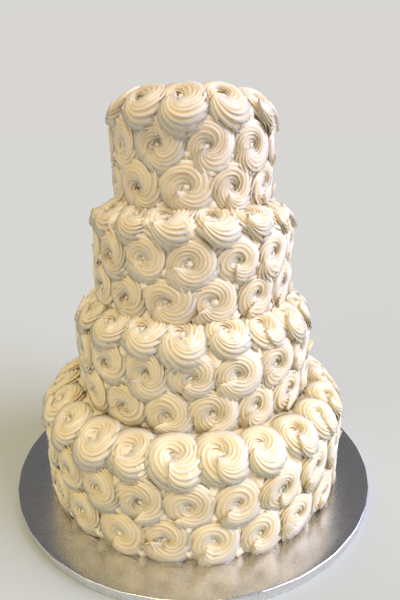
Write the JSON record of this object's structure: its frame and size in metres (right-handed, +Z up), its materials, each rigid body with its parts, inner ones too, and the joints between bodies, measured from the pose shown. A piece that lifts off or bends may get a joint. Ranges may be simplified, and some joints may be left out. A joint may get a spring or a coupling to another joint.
{
  "type": "tiered wedding cake",
  "caption": "Round tiered wedding cake covered in piped buttercream rosettes, standing on a foil-covered round board.",
  "frame": {"origin": "centre of the board's underside", "axes": "+Z up, the pictured front faces -Y, +X to the viewer's right"},
  "size_m": [0.4572, 0.4572, 0.4736],
  "materials": {
    "buttercream": "soft satin, piped ridges",
    "base_icing": "smooth, matte",
    "silver_foil": "bright foil with a fine embossed grain"
  },
  "bodies": {
    "root": {"cake_board": "silver_foil", "tier_1_cake": "base_icing", "tier_1_foot_rosettes": "buttercream", "tier_1_middle_rosettes": "buttercream", "tier_1_rim_rosettes": "buttercream", "tier_2_cake": "base_icing", "tier_2_foot_rosettes": "buttercream", "tier_2_middle_rosettes": "buttercream", "tier_2_rim_rosettes": "buttercream", "tier_3_cake": "base_icing", "tier_3_foot_rosettes": "buttercream", "tier_3_middle_rosettes": "buttercream", "tier_3_rim_rosettes": "buttercream", "tier_4_cake": "base_icing", "tier_4_foot_rosettes": "buttercream", "tier_4_middle_rosettes": "buttercream", "tier_4_rim_rosettes": "buttercream", "top_rosette_1": "buttercream", "top_rosette_2": "buttercream", "top_rosette_3": "buttercream", "top_rosette_4": "buttercream", "top_rosette_5": "buttercream", "top_rosette_6": "buttercream"}
  },
  "joints": []
}
